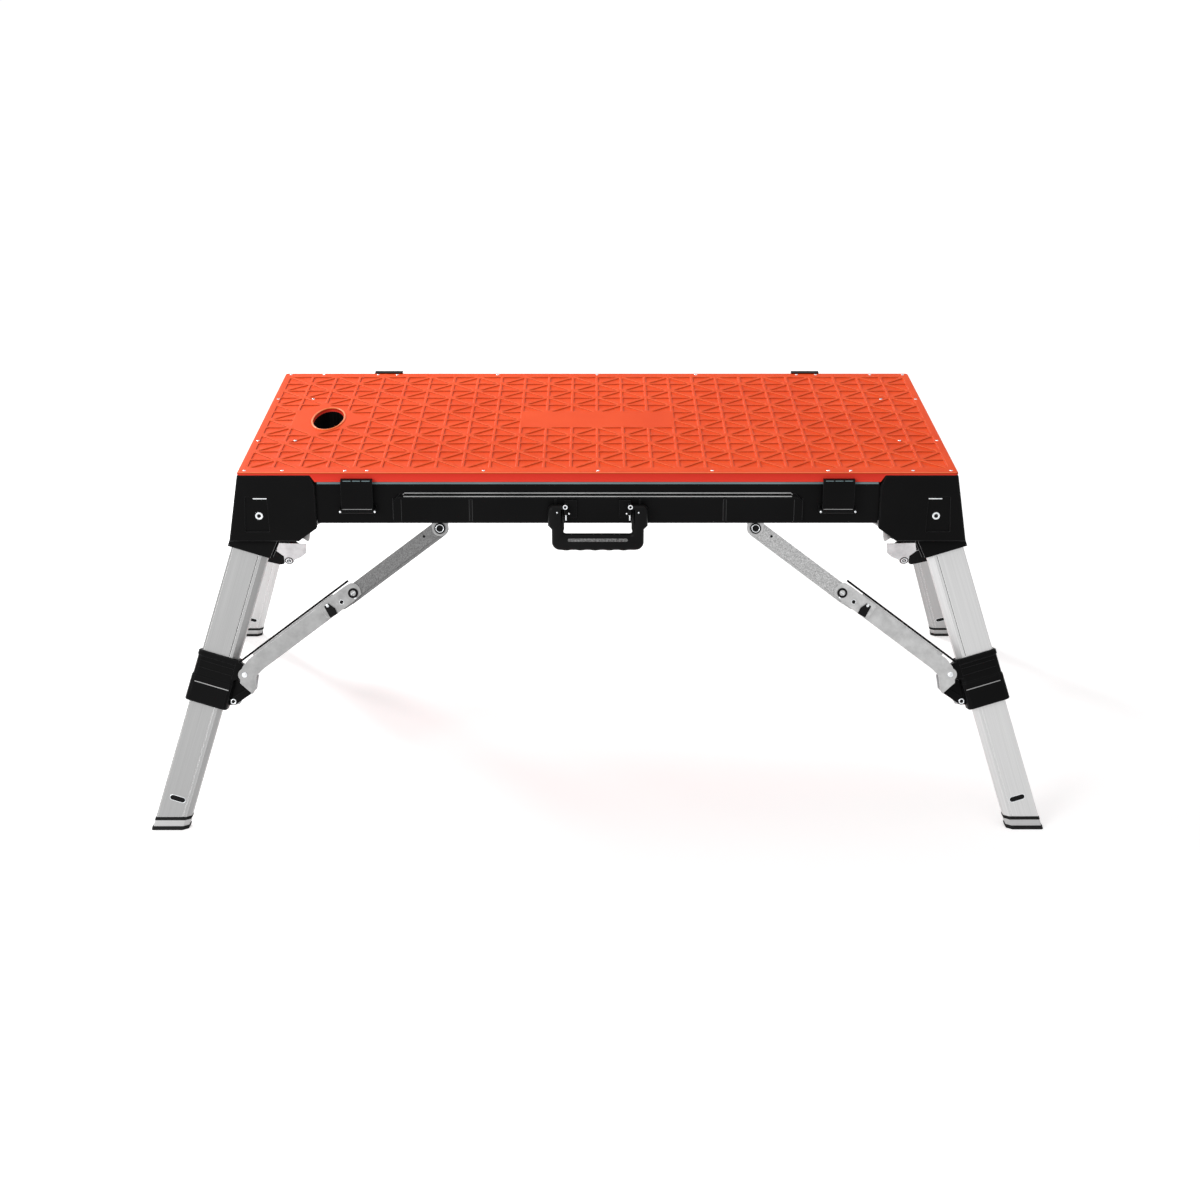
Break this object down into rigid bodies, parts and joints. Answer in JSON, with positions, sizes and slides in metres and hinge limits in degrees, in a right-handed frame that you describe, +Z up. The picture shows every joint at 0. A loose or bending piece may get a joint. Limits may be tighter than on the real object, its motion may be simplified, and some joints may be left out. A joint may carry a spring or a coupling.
{
  "type": "portable folding workbench",
  "caption": "Portable workbench with a ribbed moulded top over a ring frame, splayed telescopic legs that fold under it on hinged braces, edge latches and a carry handle.",
  "frame": {"origin": "centre of the footprint, on the floor", "axes": "+X along the bench to the end away from the hand hole, -Y towards the carry handle side, +Z up"},
  "size_m": [1.4516, 0.8144, 0.5725],
  "materials": {
    "orange_plastic": "satin moulded",
    "black_plastic": "fine grained satin",
    "aluminium": "satin extruded",
    "zinc_steel": "zinc plated",
    "rubber": "matte"
  },
  "bodies": {
    "frame": {"top_panel": "orange_plastic", "frame": "black_plastic", "hole_chute": "black_plastic", "handle_mount_left": "black_plastic", "handle_mount_right": "black_plastic", "bracket_fl": "black_plastic", "bracket_fr": "black_plastic", "bracket_rl": "black_plastic", "bracket_rr": "black_plastic", "fold_pin_fl": "zinc_steel", "fold_pin_fr": "zinc_steel", "fold_pin_rl": "zinc_steel", "fold_pin_rr": "zinc_steel", "brace_ear_fl": "zinc_steel", "brace_ear_fr": "zinc_steel", "brace_ear_rl": "zinc_steel", "brace_ear_rr": "zinc_steel", "brace_pin_fl": "zinc_steel", "brace_pin_fr": "zinc_steel", "brace_pin_rl": "zinc_steel", "brace_pin_rr": "zinc_steel"},
    "leg_fl": {"upper_tube_fl": "aluminium", "collar_fl": "black_plastic"},
    "leg_slide_fl": {"lower_tube_fl": "aluminium", "foot_fl": "rubber"},
    "lock_lever_fl": {"lever_fl": "black_plastic"},
    "lower_link_fl": {"brace_lower_fl": "zinc_steel"},
    "upper_link_fl": {"brace_upper_fl": "zinc_steel", "brace_lock_fl": "zinc_steel"},
    "edge_latch_fl": {"latch_fl": "black_plastic"},
    "leg_fr": {"upper_tube_fr": "aluminium", "collar_fr": "black_plastic"},
    "leg_slide_fr": {"lower_tube_fr": "aluminium", "foot_fr": "rubber"},
    "lock_lever_fr": {"lever_fr": "black_plastic"},
    "lower_link_fr": {"brace_lower_fr": "zinc_steel"},
    "upper_link_fr": {"brace_upper_fr": "zinc_steel", "brace_lock_fr": "zinc_steel"},
    "edge_latch_fr": {"latch_fr": "black_plastic"},
    "leg_rl": {"upper_tube_rl": "aluminium", "collar_rl": "black_plastic"},
    "leg_slide_rl": {"lower_tube_rl": "aluminium", "foot_rl": "rubber"},
    "lock_lever_rl": {"lever_rl": "black_plastic"},
    "lower_link_rl": {"brace_lower_rl": "zinc_steel"},
    "upper_link_rl": {"brace_upper_rl": "zinc_steel", "brace_lock_rl": "zinc_steel"},
    "edge_latch_rl": {"latch_rl": "black_plastic"},
    "leg_rr": {"upper_tube_rr": "aluminium", "collar_rr": "black_plastic"},
    "leg_slide_rr": {"lower_tube_rr": "aluminium", "foot_rr": "rubber"},
    "lock_lever_rr": {"lever_rr": "black_plastic"},
    "lower_link_rr": {"brace_lower_rr": "zinc_steel"},
    "upper_link_rr": {"brace_upper_rr": "zinc_steel", "brace_lock_rr": "zinc_steel"},
    "edge_latch_rr": {"latch_rr": "black_plastic"},
    "carry_handle": {"handle": "black_plastic"}
  },
  "joints": [
    {"name": "leg_fold_fl", "type": "hinge", "parent": "frame", "child": "leg_fl", "pos_m": [-0.535, -0.2248, 0.508], "axis": [0, -0.9482, 0.3177], "range_deg": [0, 100]},
    {"name": "leg_retract_fl", "type": "slide", "parent": "leg_fl", "child": "leg_slide_fl", "axis": [0.2862, 0.3044, 0.9085], "range_m": [0, 0.175]},
    {"name": "lever_lift_fl", "type": "hinge", "parent": "leg_fl", "child": "lock_lever_fl", "pos_m": [-0.59007, -0.32954, 0.19535], "axis": [0, 0.9482, -0.3177], "range_deg": [0, 30]},
    {"name": "brace_upper_swing_fl", "type": "hinge", "parent": "frame", "child": "upper_link_fl", "pos_m": [-0.25231, -0.24017, 0.46212], "axis": [0, -0.9482, 0.3177], "range_deg": [0, 151]},
    {"name": "brace_lower_swing_fl", "type": "hinge", "parent": "leg_fl", "child": "lower_link_fl", "pos_m": [-0.56902, -0.31526, 0.23797], "axis": [0, -0.9482, 0.3177], "range_deg": [-151, 0]},
    {"name": "latch_swing_fl", "type": "hinge", "parent": "frame", "child": "edge_latch_fl", "pos_m": [-0.381, -0.285, 0.507], "axis": [1, 0, 0], "range_deg": [0, 120]},
    {"name": "leg_fold_fr", "type": "hinge", "parent": "frame", "child": "leg_fr", "pos_m": [0.535, -0.2248, 0.508], "axis": [0, 0.9482, -0.3177], "range_deg": [0, 100]},
    {"name": "leg_retract_fr", "type": "slide", "parent": "leg_fr", "child": "leg_slide_fr", "axis": [-0.2862, 0.3044, 0.9085], "range_m": [0, 0.175]},
    {"name": "lever_lift_fr", "type": "hinge", "parent": "leg_fr", "child": "lock_lever_fr", "pos_m": [0.59007, -0.32954, 0.19535], "axis": [0, -0.9482, 0.3177], "range_deg": [0, 30]},
    {"name": "brace_upper_swing_fr", "type": "hinge", "parent": "frame", "child": "upper_link_fr", "pos_m": [0.25231, -0.24017, 0.46212], "axis": [0, 0.9482, -0.3177], "range_deg": [0, 151]},
    {"name": "brace_lower_swing_fr", "type": "hinge", "parent": "leg_fr", "child": "lower_link_fr", "pos_m": [0.56902, -0.31526, 0.23797], "axis": [0, 0.9482, -0.3177], "range_deg": [-151, 0]},
    {"name": "latch_swing_fr", "type": "hinge", "parent": "frame", "child": "edge_latch_fr", "pos_m": [0.381, -0.285, 0.507], "axis": [1, 0, 0], "range_deg": [0, 120]},
    {"name": "leg_fold_rl", "type": "hinge", "parent": "frame", "child": "leg_rl", "pos_m": [-0.535, 0.2248, 0.508], "axis": [0, -0.9482, -0.3177], "range_deg": [0, 100]},
    {"name": "leg_retract_rl", "type": "slide", "parent": "leg_rl", "child": "leg_slide_rl", "axis": [0.2862, -0.3044, 0.9085], "range_m": [0, 0.175]},
    {"name": "lever_lift_rl", "type": "hinge", "parent": "leg_rl", "child": "lock_lever_rl", "pos_m": [-0.59007, 0.32954, 0.19535], "axis": [0, 0.9482, 0.3177], "range_deg": [0, 30]},
    {"name": "brace_upper_swing_rl", "type": "hinge", "parent": "frame", "child": "upper_link_rl", "pos_m": [-0.25231, 0.24017, 0.46212], "axis": [0, -0.9482, -0.3177], "range_deg": [0, 151]},
    {"name": "brace_lower_swing_rl", "type": "hinge", "parent": "leg_rl", "child": "lower_link_rl", "pos_m": [-0.56902, 0.31526, 0.23797], "axis": [0, -0.9482, -0.3177], "range_deg": [-151, 0]},
    {"name": "latch_swing_rl", "type": "hinge", "parent": "frame", "child": "edge_latch_rl", "pos_m": [-0.381, 0.285, 0.507], "axis": [-1, 0, 0], "range_deg": [0, 120]},
    {"name": "leg_fold_rr", "type": "hinge", "parent": "frame", "child": "leg_rr", "pos_m": [0.535, 0.2248, 0.508], "axis": [0, 0.9482, 0.3177], "range_deg": [0, 100]},
    {"name": "leg_retract_rr", "type": "slide", "parent": "leg_rr", "child": "leg_slide_rr", "axis": [-0.2862, -0.3044, 0.9085], "range_m": [0, 0.175]},
    {"name": "lever_lift_rr", "type": "hinge", "parent": "leg_rr", "child": "lock_lever_rr", "pos_m": [0.59007, 0.32954, 0.19535], "axis": [0, -0.9482, -0.3177], "range_deg": [0, 30]},
    {"name": "brace_upper_swing_rr", "type": "hinge", "parent": "frame", "child": "upper_link_rr", "pos_m": [0.25231, 0.24017, 0.46212], "axis": [0, 0.9482, 0.3177], "range_deg": [0, 151]},
    {"name": "brace_lower_swing_rr", "type": "hinge", "parent": "leg_rr", "child": "lower_link_rr", "pos_m": [0.56902, 0.31526, 0.23797], "axis": [0, 0.9482, 0.3177], "range_deg": [-151, 0]},
    {"name": "latch_swing_rr", "type": "hinge", "parent": "frame", "child": "edge_latch_rr", "pos_m": [0.381, 0.285, 0.507], "axis": [-1, 0, 0], "range_deg": [0, 120]},
    {"name": "handle_swing", "type": "hinge", "parent": "frame", "child": "carry_handle", "pos_m": [0, -0.292, 0.509], "axis": [-1, 0, 0], "range_deg": [0, 95]}
  ],
  "couplings": [
    {"joint": "brace_upper_swing_fl", "follows": "leg_fold_fl", "ratio": 1.4938},
    {"joint": "brace_lower_swing_fl", "follows": "leg_fold_fl", "ratio": -1.4938},
    {"joint": "brace_upper_swing_fr", "follows": "leg_fold_fr", "ratio": 1.4938},
    {"joint": "brace_lower_swing_fr", "follows": "leg_fold_fr", "ratio": -1.4938},
    {"joint": "brace_upper_swing_rl", "follows": "leg_fold_rl", "ratio": 1.4938},
    {"joint": "brace_lower_swing_rl", "follows": "leg_fold_rl", "ratio": -1.4938},
    {"joint": "brace_upper_swing_rr", "follows": "leg_fold_rr", "ratio": 1.4938},
    {"joint": "brace_lower_swing_rr", "follows": "leg_fold_rr", "ratio": -1.4938}
  ]
}
